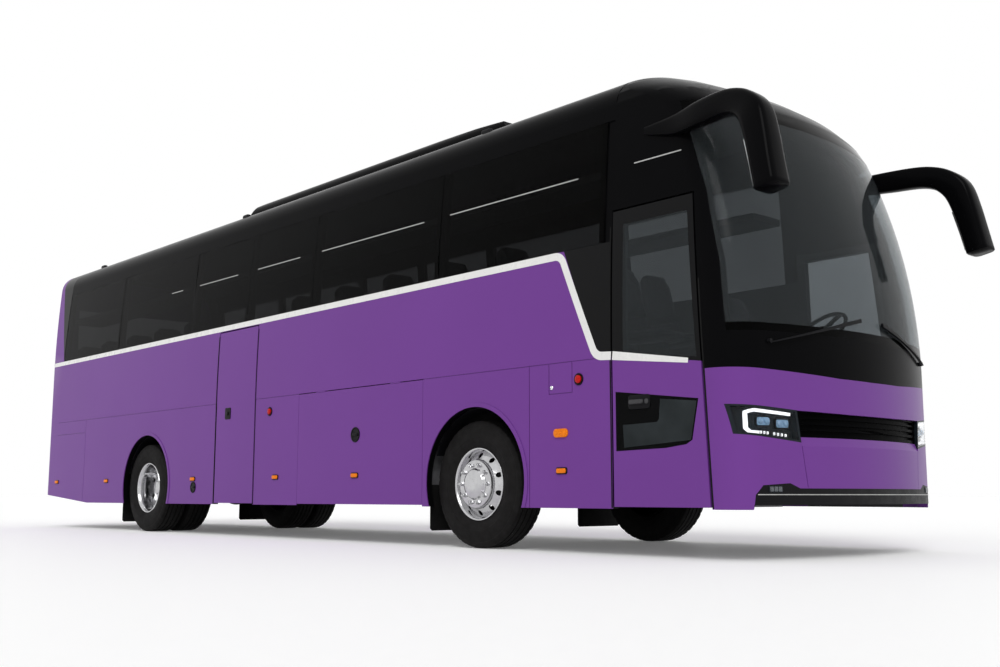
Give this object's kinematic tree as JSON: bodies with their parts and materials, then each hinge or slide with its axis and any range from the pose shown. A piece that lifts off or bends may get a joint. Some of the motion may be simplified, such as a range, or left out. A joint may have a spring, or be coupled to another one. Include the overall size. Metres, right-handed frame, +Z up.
{
  "type": "coach bus",
  "caption": "Two-axle touring coach with a bowed raked windscreen, swing-out front and middle doors, top-hinged luggage flaps, horn mirrors, steered front wheels and twin rear wheels",
  "frame": {"origin": "on the road under the middle of the whole coach, mirrors included", "axes": "X forward along the coach, Y to its left, Z up"},
  "size_m": [12.5204, 3.102, 3.7998],
  "materials": {
    "alloy": "polished",
    "black_gloss": "gloss",
    "black_trim": "satin",
    "floor": "matte",
    "frame_steel": "matte",
    "lamp": "polished",
    "paint": "gloss",
    "rubber": "matte",
    "seat_cloth": "woven",
    "tail_lamp": "polished",
    "tinted_glass": "polished",
    "tyre": "matte"
  },
  "bodies": {
    "coach_body": {"roof": "black_gloss", "roof_dome": "black_gloss", "side_wall_left": "paint", "side_wall_right": "paint", "skirt_panels_left": "paint", "skirt_panels_right": "paint", "window_frame": "black_gloss", "side_windows": "tinted_glass", "driver_panel": "paint", "windscreen": "tinted_glass", "scuttle_panel": "black_gloss", "front_band": "paint", "front_grille": "black_trim", "headlamps": "black_trim", "headlamp_lenses": "lamp", "front_bumper": "paint", "front_lip": "black_trim", "rear_wall": "paint", "rear_window": "tinted_glass", "tail_lamps": "tail_lamp", "air_conditioner": "black_gloss", "mirrors": "black_gloss", "wipers": "black_trim", "luggage_floor": "floor", "deck": "floor", "underframe": "frame_steel", "engine": "frame_steel", "seats": "seat_cloth", "parcel_racks": "floor", "dashboard": "black_trim", "front_axle": "frame_steel", "rear_axle": "frame_steel", "air_springs": "rubber", "mud_flaps": "rubber"},
    "steering_wheel": {"steering_wheel": "black_trim"},
    "engine_lid": {"engine_lid": "paint"},
    "front_door_arm": {"front_door_arm": "frame_steel"},
    "front_door": {"front_door": "paint", "front_door_glass": "tinted_glass"},
    "mid_door_arm": {"mid_door_arm": "frame_steel"},
    "mid_door": {"mid_door": "paint"},
    "luggage_flap_right": {"luggage_flap_right": "paint"},
    "luggage_flap_left_front": {"luggage_flap_left_front": "paint"},
    "luggage_flap_left_rear": {"luggage_flap_left_rear": "paint"},
    "knuckle_left": {"knuckle_left": "frame_steel"},
    "front_wheel_left": {"front_tyre_left": "tyre", "front_rim_left": "alloy"},
    "rear_wheels_left": {"rear_tyres_left": "tyre", "rear_rims_left": "alloy"},
    "knuckle_right": {"knuckle_right": "frame_steel"},
    "front_wheel_right": {"front_tyre_right": "tyre", "front_rim_right": "alloy"},
    "rear_wheels_right": {"rear_tyres_right": "tyre", "rear_rims_right": "alloy"}
  },
  "joints": [
    {"name": "steer_left", "type": "hinge", "parent": "coach_body", "child": "knuckle_left", "pos_m": [3.07, 0.996, 0.522], "axis": [0, 0, 1], "range_deg": [-42, 42]},
    {"name": "front_wheel_left", "type": "hinge", "parent": "knuckle_left", "child": "front_wheel_left", "pos_m": [3.07, 1.056, 0.522], "axis": [0, 1, 0], "continuous": true},
    {"name": "rear_wheels_left", "type": "hinge", "parent": "coach_body", "child": "rear_wheels_left", "pos_m": [-2.99, 1.076, 0.522], "axis": [0, 1, 0], "continuous": true},
    {"name": "steer_right", "type": "hinge", "parent": "coach_body", "child": "knuckle_right", "pos_m": [3.07, -0.996, 0.522], "axis": [0, 0, 1], "range_deg": [-42, 42]},
    {"name": "front_wheel_right", "type": "hinge", "parent": "knuckle_right", "child": "front_wheel_right", "pos_m": [3.07, -1.056, 0.522], "axis": [0, 1, 0], "continuous": true},
    {"name": "rear_wheels_right", "type": "hinge", "parent": "coach_body", "child": "rear_wheels_right", "pos_m": [-2.99, -1.076, 0.522], "axis": [0, 1, 0], "continuous": true},
    {"name": "front_door_swing", "type": "hinge", "parent": "coach_body", "child": "front_door_arm", "pos_m": [5.334, -1.135, 1.2], "axis": [0, 0, 1], "range_deg": [0, 125]},
    {"name": "front_door_level", "type": "hinge", "parent": "front_door_arm", "child": "front_door", "pos_m": [4.854, -1.135, 1.2], "axis": [0, 0, 1], "range_deg": [-125, 0]},
    {"name": "mid_door_swing", "type": "hinge", "parent": "coach_body", "child": "mid_door_arm", "pos_m": [-0.572, -1.135, 1.2], "axis": [0, 0, 1], "range_deg": [0, 125]},
    {"name": "mid_door_level", "type": "hinge", "parent": "mid_door_arm", "child": "mid_door", "pos_m": [-1.052, -1.135, 1.2], "axis": [0, 0, 1], "range_deg": [-125, 0]},
    {"name": "luggage_flap_right", "type": "hinge", "parent": "coach_body", "child": "luggage_flap_right", "pos_m": [1.446, -1.275, 1.428], "axis": [-1, 0, 0], "range_deg": [0, 85]},
    {"name": "luggage_flap_left_front", "type": "hinge", "parent": "coach_body", "child": "luggage_flap_left_front", "pos_m": [1.446, 1.275, 1.428], "axis": [1, 0, 0], "range_deg": [0, 85]},
    {"name": "luggage_flap_left_rear", "type": "hinge", "parent": "coach_body", "child": "luggage_flap_left_rear", "pos_m": [-0.542, 1.275, 1.428], "axis": [1, 0, 0], "range_deg": [0, 85]},
    {"name": "engine_lid", "type": "hinge", "parent": "coach_body", "child": "engine_lid", "pos_m": [-6.26, 0, 1.496], "axis": [0, 1, 0], "range_deg": [0, 80]},
    {"name": "steering_wheel", "type": "hinge", "parent": "coach_body", "child": "steering_wheel", "pos_m": [5.2, 0.62, 1.73], "axis": [-0.5736, 0, 0.8192], "range_deg": [-756, 756]}
  ],
  "couplings": [
    {"joint": "steer_right", "follows": "steer_left", "ratio": 1},
    {"joint": "steering_wheel", "follows": "steer_left", "ratio": 18},
    {"joint": "front_door_level", "follows": "front_door_swing", "ratio": -1},
    {"joint": "mid_door_level", "follows": "mid_door_swing", "ratio": -1}
  ]
}
